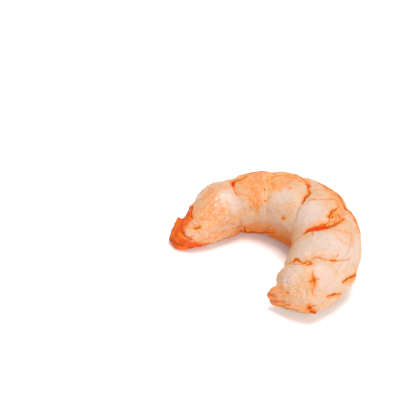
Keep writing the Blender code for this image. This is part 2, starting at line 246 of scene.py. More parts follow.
# Orange bands: half width in mm, strength, and the points that each runs through.
BANDS = (
    ("over back", 0.90, 1.0,
     ((37.6, 48), (38.6, 48), (39.8, 42), (41.6, 40), (43.2, 37), (44.8, 34), (46.4, 35), (48.0, 36))),
    ("beside hook", 0.60, 0.8, ((39.8, 60), (41.6, 58), (43.4, 63), (44.6, 72), (45.6, 79))),
    ("back of fourth", 1.5, 1.0, ((23.6, 68), (25.4, 62), (27.6, 60), (29.4, 66))),
    ("end of gash", 0.70, 1.0, ((48.2, 88), (47.4, 80), (46.5, 72), (45.9, 63))),
    ("red corner of fifth", 0.80, 0.9, ((18.6, 66), (17.8, 76), (17.1, 86), (17.2, 94))),
    ("fourth crease", 0.75, 0.9,
     ((30.8, 50), (32.2, 62), (33.4, 72), (34.8, 82), (36.2, 91), (36.8, 100))),
    ("second crease by belly", 0.95, 1.0,
     ((59.8, 146), (60.0, 134), (60.2, 122), (60.8, 112), (60.9, 103))),
    ("second crease, middle", 1.00, 1.0, ((61.0, 108), (60.8, 103), (60.6, 98), (60.0, 95))),
    ("second crease, side", 0.55, 0.7, ((58.6, 90), (58.2, 80), (57.8, 72), (57.3, 62), (56.6, 54))),
    ("lip low on back", 0.60, 0.85, ((59.4, 12), (57.6, 7), (56.0, 1), (54.8, -4))),
    ("ragged line by cut", 0.60, 0.8, ((64.4, 12), (62.8, 5), (61.4, -3), (60.4, -12))),
    ("outer edge of flap", 0.55, 1.0, ((64.4, 178), (65.4, 186), (66.0, 192), (66.4, 199))),
    ("star on head part", 1.00, 1.0, ((63.0, 86), (64.0, 81), (64.8, 78), (65.8, 74))),
    ("orange nub at cut", 0.55, 1.0, ((67.3, 16), (67.2, -20))),
    ("red nub at cut", 0.65, 1.0, ((66.8, -30), (66.3, -46), (65.9, -58))),
    ("hollow below comma", 0.50, 0.8, ((34.2, 164), (34.8, 160), (35.8, 158))),
    ("comma on sixth", 0.75, 0.9, ((4.8, 132), (5.6, 138), (6.6, 143), (7.4, 138))),
    ("far fifth crease", 0.60, 0.6, ((18.6, 50), (19.2, 20), (18.8, -20), (17.4, -66))),
    ("far fourth crease", 0.70, 0.7, ((30.6, 44), (29.8, 10), (30.6, -40), (35.0, -82))),
    ("far third crease", 0.60, 0.7,
     ((40.6, 30), (40.6, -10), (42.2, -44), (46.2, -74), (49.4, -108))),
    ("far second crease", 0.50, 0.6, ((54.4, 2), (54.4, -16), (56.0, -56), (59.0, -106))),
)
# A degree around the body is about this many millimetres.
MM_PER_DEGREE = 0.13
# Every line, in millimetres: the step between its points, how far and over what lengths it
# wanders, and half its dark middle.
LINE_STEP = 0.06
LINE_WANDER = 0.24
WANDER_SIZES = (1.1, 0.45)
LINE_LEAST = 0.06
# Lines wider than this are looked for apart from the thin ones.
WIDE_LINE = 0.2
# Side branches: how many for each millimetre, length, turn, bend, and their shares of the
# line's width, strength, redness and groove.
TWIGS_PER_MM = 0.3
TWIG_LENGTHS = (0.3, 1.1)
TWIG_TURNS = (0.5, 1.4)
TWIG_BEND = 0.7
TWIG_SHARES = (0.4, 0.6, 0.6, 0.3)
TWIG_SEED = 11
# The orange halo of a line: its width, more for each width of the line, and its power.
HALO_WIDTH = 0.24
HALO_PER_WIDTH = 1.2
HALO_POWER = 1.8

# A ragged ledge low on the back, given like the lumps, and its height.
LEDGE = (56.4, 1.0, 0.9, 9.0)
LEDGE_RISE = 0.5
# Layers of fine relief: height, size, seed, and where along the body each begins and is full.
# Three sizes follow the straightened body: outwards, along it and upwards.
LAYERS = (
    ("bumps", 0.10, 1.5, 3.0, None),
    ("small bumps", 0.07, 0.8, 9.0, None),
    ("bumps on sixth", 0.11, 0.8, 9.0, (18.0, 14.0)),
    ("pores", 0.04, 0.45, 15.0, None),
    ("strands of muscle", 0.030, (0.55, 6.0, 0.55), 21.0, None),
    ("torn flesh at cut", 0.34, 1.5, 51.0, (62.5, 66.0)),
    ("small tears at cut", 0.20, 0.6, 57.0, (62.5, 66.0)),
    ("torn flesh of tail stub", 0.30, (1.3, 3.0, 1.3), 61.0, (7.0, 3.0)),
    ("small tears of tail stub", 0.08, 0.5, 67.0, (7.0, 3.0)),
)
# Wrinkles beside the creases: height, reach, how many for each millimetre, and how far they
# run on, around and along the body.
WRINKLE_HEIGHT = 0.09
WRINKLE_REACH = 1.8
WRINKLES_PER_MM = 2.4
WRINKLE_RUN = (28.0, 9.0)

# Orange tint: middle along and around, half length, half width in degrees, strength.
TINTS = (
    ("back of fifth", 21.4, 58, 4.8, 54, 0.92),
    ("back of fourth", 28.4, 60, 4.6, 44, 1.0),
    ("side of fourth by vein", 27.6, 98, 2.4, 18, 0.95),
    ("side of fifth", 22.2, 126, 2.8, 36, 0.95),
    ("top of sixth", 11.5, 78, 4.2, 16, 0.55),
    ("side of sixth", 9.6, 132, 4.2, 32, 0.66),
    ("end of sixth", 6.8, 120, 1.4, 50, 0.55),
    ("fold below sixth", 13.0, 168, 4.0, 12, 0.45),
    ("net on third", 45.9, 72, 1.8, 12, 0.80),
    ("upper side of third", 40.6, 60, 3.4, 12, 0.60),
    ("back of third", 39.6, 46, 3.0, 10, 0.85),
    ("edge of back", 44.6, 26, 4.2, 12, 0.75),
    ("side of gash", 47.6, 84, 1.0, 18, 0.50),
    ("belly side of second", 60.5, 124, 1.1, 22, 0.55),
    ("below star", 65.2, 74, 1.2, 8, 0.40),
    ("belly side by stub", 8.2, 184, 2.8, 14, 0.80),
    # Partly painted contact shade at the lower rim of the cut.
    ("low rim of cut", 66.4, 296, 1.0, 30, 0.90),
    ("by flap", 66.0, 166, 1.4, 24, 0.85),
    # Partly painted shade under the cut, where it faces down.
    ("under cut", 66.8, 225, 0.9, 60, 0.80),
    ("far side of fifth", 22.0, -42, 6.0, 40, 0.75),
    ("far side of third", 40.0, -46, 5.0, 22, 0.60),
    ("middle of back", 38.0, 0, 7.0, 20, 0.60),
    ("low on back", 55.4, 2, 2.0, 10, 0.75),
)
# Deep orange, where pigment and dried skin cover the flesh.
DEEPS = (
    ("flap", 65.8, 194, 1.1, 16, 0.34),
    ("red nub at cut", 66.4, -42, 0.8, 12, 0.85),
    ("streak on back", 55.0, 4, 1.0, 5, 0.45),
)
# How far along the body the deep orange of the tail stub reaches, at each angle.
STUB_ANGLES = (0.0, 52.0, 85.0, 102.0, 120.0, 146.0, 166.0, 182.0, 198.0, 225.0, 270.0, 360.0)
STUB_REACH = (6.0, 6.7, 6.0, 5.6, 5.5, 4.2, 4.7, 6.2, 7.8, 8.4, 6.8, 6.0)
# The angle at which the belly's brown, partly painted shade, begins, at places along the body.
BELLY_PLACES = (8.0, 15.6, 24.6, 34.6, 40.8, 46.0, 51.2, 58.0)
BELLY_ANGLES = (196.0, 182.0, 181.0, 175.0, 170.0, 163.0, 160.0, 168.0)
# Pale, whiter flesh, and a painted highlight on the sixth where its wet flesh shines.
PALES = (
    ("head side of sixth", 14.0, 124, 2.4, 34, 1.0),
    ("top of sixth", 14.2, 84, 1.8, 12, 0.70),
    ("side of fourth", 31.4, 116, 3.0, 22, 0.75),
    ("side of third", 43.0, 112, 4.4, 26, 1.0),
    ("side of second", 53.6, 84, 3.0, 30, 1.0),
    ("back of second", 54.6, 52, 3.4, 18, 1.0),
    ("strip along back", 50.0, 28, 6.0, 10, 0.90),
    ("side of first", 61.4, 62, 2.4, 22, 0.85),
    ("belly side of first", 63.4, 128, 1.8, 22, 0.60),
    ("belly side of second", 56.4, 116, 2.6, 22, 0.85),
    ("back of first", 61.8, 34, 2.6, 14, 0.80),
)

# Colours, as linear light.
FLESH = (0.60, 0.395, 0.265)
# Pale flesh, also used for the painted highlight on the sixth.
PALE_FLESH_AND_HIGHLIGHT = (0.595, 0.465, 0.40)
WARM_FLESH = (0.67, 0.30, 0.085)
WHITE_FLESH = (0.67, 0.555, 0.50)
ORANGE = (0.76, 0.24, 0.032)
LIGHT_ORANGE = (0.75, 0.345, 0.110)
BRIGHT_ORANGE = (0.78, 0.145, 0.006)
DEEP_ORANGE = (0.64, 0.070, 0.005)
VEIN = (0.50, 0.115, 0.015)
BROWN = (0.36, 0.078, 0.011)
YELLOW = (0.82, 0.54, 0.22)
RED = (0.62, 0.048, 0.004)
# The belly's brown, partly painted shade, and the darker painted shade where the belly faces down.
BELLY_BROWN_AND_SHADE = (0.72, 0.21, 0.03)
BELLY_SHADE = (0.66, 0.155, 0.014)
# The finish of the flesh, lengths in metres, under the shader's own names.
FLESH_FINISH = (
    ("Subsurface Radius", (1.0, 0.40, 0.20)),
    ("Subsurface Scale", 0.0007),
    ("IOR", 1.36),
    ("Coat Roughness", 0.24),
)
BUMP = (("Strength", 0.6), ("Distance", 0.00025))
# The least and the greatest roughness.
ROUGHNESS = (0.38, 0.58)
# Bare flesh, and flesh that pigment or skin covers.
SUBSURFACE = (0.60, 0.05)
SPECULAR = (0.32, 0.04)
COAT_LEFT = (1.0, 0.12)
# The wet coat on the tail part and on the rest, and the stretch between them.
COAT = (0.55, 0.12)
COAT_STRETCH = (12.0, 22.0)

# The camera, in millimetres: it stands in front and looks down past the shrimp's left side.
CAMERA_LOOKS_AT = (-15.12, 21.30, 0.0)
CAMERA_AWAY = 281.3
CAMERA_HEIGHT_ANGLE = 40.0
LENS = 100.0
SENSOR = 36.0
CLIP_START = 0.01
# Softboxes: place and side in metres, and power in watts. Each one faces the origin.
SOFTBOXES = (
    ("key_softbox", (0.05, 0.05, 0.53), 0.24, 2.3),
    ("front_softbox", (0.16, -0.48, 0.20), 0.45, 1.9),
)
# The tent's brightness at the horizon and overhead, and the sine of the angle where it is full.
TENT = (0.50, 0.56)
TENT_SINE = 0.7
# The lit table: half its side in metres, and its finish.
FLOOR_HALF = 3.0
FLOOR_FINISH = (
    ("Base Color", (0.90, 0.90, 0.90)),
    ("Roughness", 0.6),
    ("Emission Color", (1.0, 1.0, 1.0)),
    ("Emission Strength", 0.08),
)


# The form, as in the solid.

def ease(share):
    share = np.clip(share, 0.0, 1.0)
    return share * share * (3.0 - 2.0 * share)


def smooth_through(stops, values, at):
    """A smooth curve through the values at the stops, read at any place between them."""
    slopes = np.gradient(values, stops)
    at = np.clip(at, stops[0], stops[-1])
    index = np.clip(np.searchsorted(stops, at, side="right") - 1, 0, len(stops) - 2)
    gap = stops[index + 1] - stops[index]
    share = (at - stops[index]) / gap
    rest = 1.0 - share
    near = values[index] * (1.0 + 2.0 * share) + slopes[index] * gap * share
    far = values[index + 1] * (3.0 - 2.0 * share) - slopes[index + 1] * gap * rest
    return near * rest * rest + far * share * share


def stations():
    """Where the segments meet, and the heading and half depths there."""
    stops, headings, backs, bellies = [0.0], [TAIL_HEADING], [TAIL_BACK], [TAIL_BELLY]
    for _name, length, turn, back, belly in SEGMENTS:
        stops.append(stops[-1] + length)
        headings.append(headings[-1] + turn)
        backs.append(back)
        bellies.append(belly)
    return [np.array(values) for values in (stops, headings, backs, bellies)]


STOPS, HEADINGS, BACKS, BELLIES = stations()
LENGTH = STOPS[-1]


def centreline(along):
    """The middle of the body: x, y and heading at each distance along it."""
    steps = np.linspace(0.0, LENGTH, CENTRELINE_STEPS)
    heading = np.radians(smooth_through(STOPS, HEADINGS, steps))
    middle = (heading[1:] + heading[:-1]) / 2.0
    gap = steps[1] - steps[0]
    x = TAIL_TIP[0] + np.concatenate(([0.0], np.cumsum(np.cos(middle)) * gap))
    y = TAIL_TIP[1] + np.concatenate(([0.0], np.cumsum(np.sin(middle)) * gap))
    return np.interp(along, steps, x), np.interp(along, steps, y), np.interp(along, steps, heading)


def angle_between(around, angle):
    return np.abs((around - angle + 180.0) % 360.0 - 180.0)


def crease_places(around):
    """How far along the body each crease lies at these angles."""
    from_back = angle_between(around, 0.0)
    places = [np.zeros_like(around)]
    for _depth, stops in CREASES:
        places.append(smooth_through(CREASE_ANGLES, np.array(stops), from_back))
    places.append(np.full_like(around, LENGTH))
    return places


def swelling(along, around):
    """Each segment swells between its creases, and a narrow groove marks each crease."""
    places = crease_places(around)
    height = np.zeros_like(along)
    for start, end in zip(places[:-1], places[1:]):
        share = np.clip((along - start) / (end - start), 0.0, 1.0)
        inside = (along >= start) & (along < end)
        height += np.where(inside, SWELL * (1.0 - np.abs(2.0 * share - 1.0) ** SWELL_POWER), 0.0)
    for place, (depth, _stops) in zip(places[1:-1], CREASES):
        height -= depth * np.exp(-((along - place) / CREASE_WIDTH) ** 2)
    return height - SWELL / 2.0


def spread(along, around, at, angle, half_length, half_width):
    """1 at a place on the body, falling away smoothly round it."""
    apart = angle_between(around, angle) / half_width
    return np.exp(-((along - at) / half_length) ** 2 - apart ** 2)


def lumps(along, around):
    height = np.zeros_like(along)
    for _name, at, angle, half_length, half_width, rise in LUMPS:
        height += rise * spread(along, around, at, angle, half_length, half_width)
    return height


def folds(along, around):
    height = np.zeros_like(along)
    for _name, angle, half_width, rise, start, end in FOLDS:
        fade = ease((along - start) / FOLD_FADE) * ease((end - along) / FOLD_FADE)
        height += rise * fade * np.exp(-(angle_between(around, angle) / half_width) ** 2)
    return height


def rags(around):
    reach = np.zeros_like(around)
    for _name, angle, half_width, rise in RAGS:
        reach += rise * np.exp(-(angle_between(around, angle) / half_width) ** 2)
    return reach


def end_round(share):
    share = np.clip(share, 0.0, 1.0)
    return np.maximum(1.0 - (1.0 - share) ** END_POWER, 0.0) ** (1.0 / END_POWER)


def taper(along, backness):
    """How far the section has opened: 0 at both tips, 1 once the ends are rounded off."""
    tail = TAIL_ROUND[1] + (TAIL_ROUND[0] - TAIL_ROUND[1]) * backness
    head = HEAD_ROUND[1] + (HEAD_ROUND[0] - HEAD_ROUND[1]) * backness
    return np.minimum(end_round(along / tail), end_round((LENGTH - along) / head))


def noise_at(points, size, seed=0.0):
    """Smooth noise from -1 to 1 at each point. Size is one number or one for each axis."""
    places = (points / np.array(size) + seed).reshape(-1, 3)
    return np.array([noise.noise(place) for place in places]).reshape(points.shape[:-1])


def section(along, around):
    """The section's half height, and the outward and upward reach of each point on it."""
    back = smooth_through(STOPS, BACKS, along)
    belly = smooth_through(STOPS, BELLIES, along)
    flatness = TAIL_FLATNESS + (HEAD_FLATNESS - TAIL_FLATNESS) * along / LENGTH
    half_height = flatness * (back + belly) / 2.0
    angle = np.radians(around)
    outwards, upwards = np.cos(angle), np.sin(angle)
    power = np.where(outwards > 0.0, BACK_POWER, BELLY_POWER)
    depth = np.where(outwards > 0.0, back, belly)
    opened = taper(along, (1.0 + outwards) / 2.0)
    out = depth * np.sign(outwards) * np.abs(outwards) ** (2.0 / power)
    up = half_height * np.sign(upwards) * np.abs(upwards) ** (2.0 / power)
    return half_height, out, up, opened


def body_surface(along, around):
    """The body's outside in millimetres, at these distances along and angles around it."""
    x, y, heading = centreline(along)
    half_height, out, up, opened = section(along, around)
    smooth_place = np.stack((out + UNEVEN_SHIFT, along, up), axis=-1)
    relief = (swelling(along, around) + lumps(along, around) + folds(along, around)
              + UNEVEN_HEIGHT * noise_at(smooth_place, UNEVEN_SIZE))
    grow = 1.0 + relief / np.maximum(np.hypot(out, up), 1.0)
    out, up = out * grow * opened, up * grow * opened

    near_tail = ease(1.0 - along / TAIL_SLANT_LENGTH)
    near_head = ease(1.0 - (LENGTH - along) / HEAD_SLANT_LENGTH)
    ahead = out * np.tan(np.radians(TAIL_SLANT)) * near_tail
    ahead = ahead + out * np.tan(np.radians(HEAD_SLANT)) * near_head
    ahead = ahead + rags(around) * ease(1.0 - (LENGTH - along) / RAG_LENGTH) * opened ** 2
    px = x - np.sin(heading) * out + np.cos(heading) * ahead
    py = y + np.cos(heading) * out + np.sin(heading) * ahead
    pz = np.maximum(half_height - PRESSED + up, 0.0)
    return np.stack((px, py, pz), axis=-1)


def row_places(around):
    """Rows that run along the creases, closer together at creases and at both tips."""
    places = crease_places(around)
    along = []
    for stretch, (start, end) in enumerate(zip(places[:-1], places[1:])):
        share = np.arange(ROWS[stretch]) / ROWS[stretch]
        if stretch == 0:
            share = 1.0 - np.cos(share * np.pi / 2.0)
        elif stretch == len(ROWS) - 1:
            share = np.sin(share * np.pi / 2.0)
        else:
            share = share - 0.5 * np.sin(2.0 * np.pi * share) / (2.0 * np.pi)
        along.append(start + (end - start) * share[:, None])
    return np.concatenate(along)[1:]


# Pigment lines.

def route(points, step):
    """Places along and around the body, a step apart, on a smooth curve through the points."""
    points = np.array(points, dtype=float)
    spans = np.hypot(np.diff(points[:, 0]), np.diff(points[:, 1]) * MM_PER_DEGREE)
    stops = np.concatenate(([0.0], np.cumsum(spans)))
    at = np.linspace(0.0, stops[-1], max(int(stops[-1] / step), 4))
    if len(points) == 2:
        return np.interp(at, stops, points[:, 0]), np.interp(at, stops, points[:, 1])
    return smooth_through(stops, points[:, 0], at), smooth_through(stops, points[:, 1], at)


def wander(along, around, amount, seed):
    """Shakes a route from side to side as real pigment lines run."""
    places = np.stack((along, around * MM_PER_DEGREE, np.full_like(along, seed)), axis=-1)
    long, short = WANDER_SIZES
    sideways = noise_at(places, long) + 0.6 * noise_at(places, short, 7.0)
    other = noise_at(places, long, 31.0) + 0.6 * noise_at(places, short, 43.0)
    return along + amount * sideways, around + amount * other / MM_PER_DEGREE


def twig(along, around, draw):
    """A short side branch from a random place on a route."""
    start = draw.integers(1, len(along) - 1)
    ahead = along[start + 1] - along[start - 1]
    aside = (around[start + 1] - around[start - 1]) * MM_PER_DEGREE
    heading = np.arctan2(aside, ahead) + draw.choice((-1.0, 1.0)) * draw.uniform(*TWIG_TURNS)
    length = draw.uniform(*TWIG_LENGTHS)
    bent = heading + draw.uniform(-TWIG_BEND, TWIG_BEND)
    root = (along[start], around[start])
    middle = (root[0] + np.cos(heading) * length / 2.0,
              root[1] + np.sin(heading) * length / (2.0 * MM_PER_DEGREE))
    end = (root[0] + np.cos(bent) * length, root[1] + np.sin(bent) * length / MM_PER_DEGREE)
    return root, middle, end


def strands():
    """Every pigment line and twig: places, half width, strength, redness, groove depth."""
    draw = np.random.default_rng(TWIG_SEED)
    found = []
    for number, (_name, *facts, points) in enumerate(LINES):
        along, around = wander(*route(points, LINE_STEP), LINE_WANDER, number * 3.7)
        found.append((along, around, *facts))
        twig_facts = [fact * share for fact, share in zip(facts, TWIG_SHARES)]
        for _ in range(int(round(len(along) * LINE_STEP * TWIGS_PER_MM * facts[1]))):
            points = twig(along, around, draw)
            side = wander(*route(points, LINE_STEP), LINE_WANDER * 0.6, draw.uniform(0.0, 90.0))
            found.append((*side, *twig_facts))
    return found


def band_field(points):
    """How strongly the orange bands cover each point on the body."""
    places, facts = [], []
    for number, (_name, width, strength, stops) in enumerate(BANDS):
        along, around = wander(*route(stops, LINE_STEP * 2.0), LINE_WANDER, 50.0 + number * 2.3)
        share = np.linspace(0.0, 1.0, len(along))
        places.append(body_surface(along, around))
        swell = 0.85 + 0.6 * noise_at(places[-1], 1.2, 37.0)
        widths = width * swell * (0.3 + 0.7 * np.sin(np.pi * share) ** 0.5)
        facts.append(np.stack((widths, np.full_like(share, strength)), axis=-1))
    index, away = nearest_places(np.concatenate(places), points)
    fact = np.concatenate(facts)[index]
    return fact[..., 1] * ease(1.5 - away / fact[..., 0])


def nearest_places(places, points):
    """For each point, which of the places is nearest, and how far away it is."""
    tree = kdtree.KDTree(len(places))
    for index, place in enumerate(places):
        tree.insert(place, index)
    tree.balance()
    found = [tree.find(point)[1:] for point in points.reshape(-1, 3)]
    index = np.array([number for number, _away in found]).reshape(points.shape[:-1])
    away = np.array([away for _number, away in found]).reshape(points.shape[:-1])
    return index, away


def line_fields(points):
    """The nearest line at each point: nearness, strength, redness, groove, distance and halo."""
    places, facts = [], []
    for along, around, width, strength, redness, groove in strands():
        share = np.linspace(0.0, 1.0, len(along))
        places.append(body_surface(along, around))
        swell = 0.85 + 0.55 * noise_at(places[-1], 0.8, 5.0)
        widths = width * swell * (0.22 + 0.78 * np.sin(np.pi * share) ** 0.8)
        broken = 1.0 + 0.8 * noise_at(places[-1], 1.3, 17.0)
        strengths = strength * np.clip(broken, 0.35, 1.25)
        facts.append(np.stack((widths, strengths, np.full_like(share, redness),
                               np.full_like(share, groove)), axis=-1))
    places = np.concatenate(places)
    facts = np.concatenate(facts)
    wide = facts[:, 0] > WIDE_LINE
    fields = None
    for group in (wide, ~wide):
        index, away = nearest_places(places[group], points)
        fact = facts[group][index]
        near = 1.0 - np.maximum(away - LINE_LEAST, 0.0) / fact[..., 0]
        reach = HALO_WIDTH + HALO_PER_WIDTH * fact[..., 0]
        halo = np.exp(-(away / reach) ** 2) * fact[..., 1] ** HALO_POWER
        new = np.stack((near, fact[..., 1], fact[..., 2], fact[..., 3], away, halo), axis=-1)
        if fields is None:
            fields = new
        else:
            halo = np.maximum(new[..., 5:], fields[..., 5:])
            fields = np.where(new[..., :1] > fields[..., :1], new, fields)
            fields[..., 5:] = halo
    return fields


# The fine mesh.

def patches(rows, along, around, shake):
    """The strongest of the named patches at each point, with uneven edges."""
    strength = np.zeros_like(along)
    for _name, at, angle, half_length, half_width, most in rows:
        away = np.hypot((along - at) / half_length + shake[0],
                        angle_between(around, angle) / half_width + shake[1])
        strength = np.maximum(strength, most * ease(1.5 - away))
    return strength


def surface_normals(points):
    """Outward directions on a closed grid of points, by rows along and columns around."""
    down = np.gradient(points, axis=0)
    across = np.roll(points, -1, axis=1) - np.roll(points, 1, axis=1)
    normals = np.cross(across, down)
    normals /= np.maximum(np.linalg.norm(normals, axis=-1, keepdims=True), 1e-9)
    outwards = points - points.mean(axis=1, keepdims=True)
    flip = np.where((normals * outwards).sum() < 0.0, -1.0, 1.0)
    return normals * flip


def skin_noise(points, straight, along):
    """The layers of fine relief, each over its own stretch of the body."""
    height = np.zeros_like(along)
    for _name, rise, size, seed, stretch in LAYERS:
        layer = rise * noise_at(straight if isinstance(size, tuple) else points, size, seed)
        if stretch:
            start, full = stretch
            layer = layer * ease((along - start) / (full - start))
        height += layer
    return height


def wrinkles(along, around):
    """Short folds that run beside each crease and fade away from it."""
    away = np.min([np.abs(along - place) for place in crease_places(around)[1:-1]], axis=0)
    run_around, run_along = WRINKLE_RUN
    places = np.stack((away * WRINKLES_PER_MM, around / run_around, along / run_along), axis=-1)
    return WRINKLE_HEIGHT * noise_at(places, 1.0, 13.0) * np.exp(-(away / WRINKLE_REACH) ** 2)


def fine_relief(points, straight, along, around, fields):
    """Heights in millimetres for what is too fine for the solid."""
    near, strength, _redness, groove, away, _halo = np.moveaxis(fields, -1, 0)
    height = -groove * ease(near * 0.5 + 0.5) * np.minimum(strength, 1.0)
    height += 0.35 * groove * np.exp(-((away - 0.9) / 0.35) ** 2)
    height += skin_noise(points, straight, along)
    height += wrinkles(along, around)
    height += LEDGE_RISE * spread(along, around, *LEDGE)
    return height


def straightened(along, around):
    """Each point's place in the body before it was curled."""
    _half_height, out, up, opened = section(along, around)
    return np.stack((out * opened, along, up * opened), axis=-1)


def column_angles():
    """Columns around the body, closer together on the side that faces up."""
    start, end = UPPER_SIDE
    upper = np.linspace(start, end, UPPER_COLUMNS, endpoint=False)
    lower = np.linspace(end, start + 360.0, LOWER_COLUMNS, endpoint=False)
    return np.concatenate((upper, lower)) % 360.0


def uneven_edges(straight):
    """Two fields of noise for the ragged edges of patches."""
    return [0.55 * noise_at(straight, 3.4, coarse) + 0.30 * noise_at(straight, 1.2, fine)
            for coarse, fine in ((71.0, 73.0), (79.0, 83.0))]


def tail_stub(along, around, shake):
    """Where the deep orange of the tail stub lies."""
    reach = np.interp(around, STUB_ANGLES, STUB_REACH) + 1.5 * shake[0]
    return ease((reach + 0.2 - along) / 1.3)


def belly_brown_and_shade(along, around, shake):
    """Where the belly's brown lies, partly painted shade, and the darker painted shade below it, where the
    belly faces down.
    """
    below = around - np.interp(along, BELLY_PLACES, BELLY_ANGLES) - 9.0 * shake[1]
    belly = ease((below + 9.0) / 20.0) * ease((250.0 - around) / 20.0)
    belly = belly * ease((along - 8.0) / 6.0) * ease((62.0 - along) / 7.0)
    # The second mask is painted shade, darker where the belly turns down towards the table.
    return belly, belly * ease((below - 14.0) / 14.0)


def painted(points, straight, along, around, fields):
    """What the material reads at each point."""
    shake = uneven_edges(straight)
    belly, under = belly_brown_and_shade(along, around, shake)
    return {
        "line": fields[..., 0],
        "line_strength": fields[..., 1],
        "line_redness": fields[..., 2],
        "halo": fields[..., 5],
        "tint": np.maximum(patches(TINTS, along, around, shake), band_field(points)),
        "deep": np.maximum(patches(DEEPS, along, around, shake), tail_stub(along, around, shake)),
        # Pale flesh, and a painted highlight on the sixth.
        "pale": patches(PALES, along, around, shake),
        # The belly's brown, partly painted shade, and the painted shade below it.
        "belly": belly,
        "under": under,
    }


def flesh_mesh():
    """The solid's surface in finer rows, with the fine relief, and flat where it rests."""
    around = column_angles()
    along = row_places(around)
    around = np.broadcast_to(around, along.shape).copy()
    points = body_surface(along, around)
    straight = straightened(along, around)
    fields = line_fields(points)

    lifted = ease(points[..., 2] / 0.5)
    tips_fade = ease(np.minimum(along / 0.5, (LENGTH - along) / 0.05))
    height = fine_relief(points, straight, along, around, fields) * lifted * tips_fade
    points = points + surface_normals(points) * height[..., None]
    points[..., 2] = np.maximum(points[..., 2], 0.0)

    tips = body_surface(np.array((0.0, LENGTH)), np.array((90.0, 90.0)))
    return closed_mesh(points, tips, painted(points, straight, along, around, fields), straight)


def closed_mesh(points, tips, values, straight):
    """Joins rows of points into a tube, closes it at both tips, and stores the values on it."""
    rows, columns = points.shape[:2]
    number = np.arange(rows * columns).reshape(rows, columns)
    beside = np.roll(number, -1, axis=1)
    quads = np.stack((number[:-1], beside[:-1], beside[1:], number[1:]), axis=-1).reshape(-1, 4)
    tail, head = rows * columns, rows * columns + 1
    ends = [(tail, b, a) for a, b in zip(number[0], beside[0])]
    ends += [(head, a, b) for a, b in zip(number[-1], beside[-1])]
    verts = np.concatenate((points.reshape(-1, 3), tips)) * MM

    mesh = bpy.data.meshes.new("peeled_flesh")
    mesh.from_pydata(verts.tolist(), [], quads.tolist() + [tuple(map(int, end)) for end in ends])
    for name, value in values.items():
        flat = np.concatenate((value.reshape(-1), (value[0].mean(), value[-1].mean())))
        layer = mesh.attributes.new(name, "FLOAT", "POINT")
        layer.data.foreach_set("value", flat.astype(np.float32))
    straight_tips = ((0.0, 0.0, 0.0), (0.0, LENGTH, 0.0))
    straight = np.concatenate((straight.reshape(-1, 3), straight_tips)).astype(np.float32)
    layer = mesh.attributes.new("straight", "FLOAT_VECTOR", "POINT")
    layer.data.foreach_set("vector", straight.ravel())
    mesh.shade_smooth()
    mesh.update()
    return mesh


# Materials.

def put(tree, socket, value):
    """Sets a socket, or links another node's output to it."""
    if isinstance(value, bpy.types.NodeSocket):
        tree.links.new(value, socket)
    elif isinstance(value, tuple) and len(value) == 3 and socket.type == "RGBA":
        socket.default_value = (*value, 1.0)
    else:
        socket.default_value = value


def put_all(tree, node, values):
    for name, value in values:
        put(tree, node.inputs[name], value)


def calculate(tree, operation, first, second=0.0):
    node = tree.nodes.new("ShaderNodeMath")
    node.operation = operation
    put(tree, node.inputs[0], first)
    put(tree, node.inputs[1], second)
    return node.outputs[0]


def times(tree, first, second):
    return calculate(tree, "MULTIPLY", first, second)


def between(tree, value, low, high, to_low=0.0, to_high=1.0):
    """Maps a value smoothly from one range to another."""
    node = tree.nodes.new("ShaderNodeMapRange")
    node.interpolation_type = "SMOOTHSTEP"
    put_all(tree, node, (("Value", value), ("From Min", low), ("From Max", high),
                         ("To Min", to_low), ("To Max", to_high)))
    return node.outputs["Result"]


def mixed(tree, share, first, second):
    node = tree.nodes.new("ShaderNodeMix")
    node.data_type = "RGBA"
    put(tree, node.inputs[0], share)
    put(tree, node.inputs[6], first)
    put(tree, node.inputs[7], second)
    return node.outputs[2]


def stored(tree, name, output="Fac"):
    node = tree.nodes.new("ShaderNodeAttribute")
    node.attribute_name = name
    return node.outputs[output]


def uneven(tree, name, value, *span):
    """A stored value, made uneven by a span of another value."""
    return times(tree, stored(tree, name), between(tree, value, *span))


def scaled(tree, vector, factors):
    node = tree.nodes.new("ShaderNodeVectorMath")
    node.operation = "MULTIPLY"
    put(tree, node.inputs[0], vector)
    put(tree, node.inputs[1], factors)
    return node.outputs[0]


def grain(tree, vector, scale, detail=3.0, roughness=0.55):
    node = tree.nodes.new("ShaderNodeTexNoise")
    put_all(tree, node, (("Vector", vector), ("Scale", scale), ("Detail", detail),
                         ("Roughness", roughness)))
    return node.outputs["Fac"]


def bare_flesh(tree, straight, mottle, speckle):
    """Flesh with warm clouds and specks, pale patches that are partly a painted highlight, and whiter
    fibres and specks.
    """
    clouds = grain(tree, straight, 0.30, 2.0)
    fibres = grain(tree, scaled(tree, straight, (2.6, 0.35, 2.6)), 1.0, 3.0)
    light = grain(tree, straight, 2.2, 4.0, 0.7)
    warm = calculate(tree, "ADD", clouds, times(tree, mottle, 0.7))
    colour = FLESH
    for share, over in (
        (between(tree, warm, 0.72, 1.02, 0.0, 0.50), WARM_FLESH),
        # Pale patches: whiter flesh, and a painted highlight on the sixth.
        (uneven(tree, "pale", mottle, 0.25, 0.65, 0.65, 1.0), PALE_FLESH_AND_HIGHLIGHT),
        (between(tree, fibres, 0.48, 0.66, 0.0, 0.35), PALE_FLESH_AND_HIGHLIGHT),
        (between(tree, speckle, 0.55, 0.66, 0.0, 0.30), WARM_FLESH),
        (between(tree, light, 0.54, 0.68, 0.0, 0.55), WHITE_FLESH),
    ):
        colour = mixed(tree, share, colour, over)
    return colour


def browned_and_shaded(tree, colour, mottle, speckle):
    """The belly's brown, partly painted shade, and the darker painted shade below it, where the belly faces
    down.
    """
    belly = uneven(tree, "belly", mottle, 0.2, 0.7, 0.45, 0.85)
    # Painted shade where the belly faces down.
    under = uneven(tree, "under", speckle, 0.35, 0.60, 0.5, 1.0)
    colour = mixed(tree, belly, colour, BELLY_BROWN_AND_SHADE)
    return mixed(tree, under, colour, BELLY_SHADE)


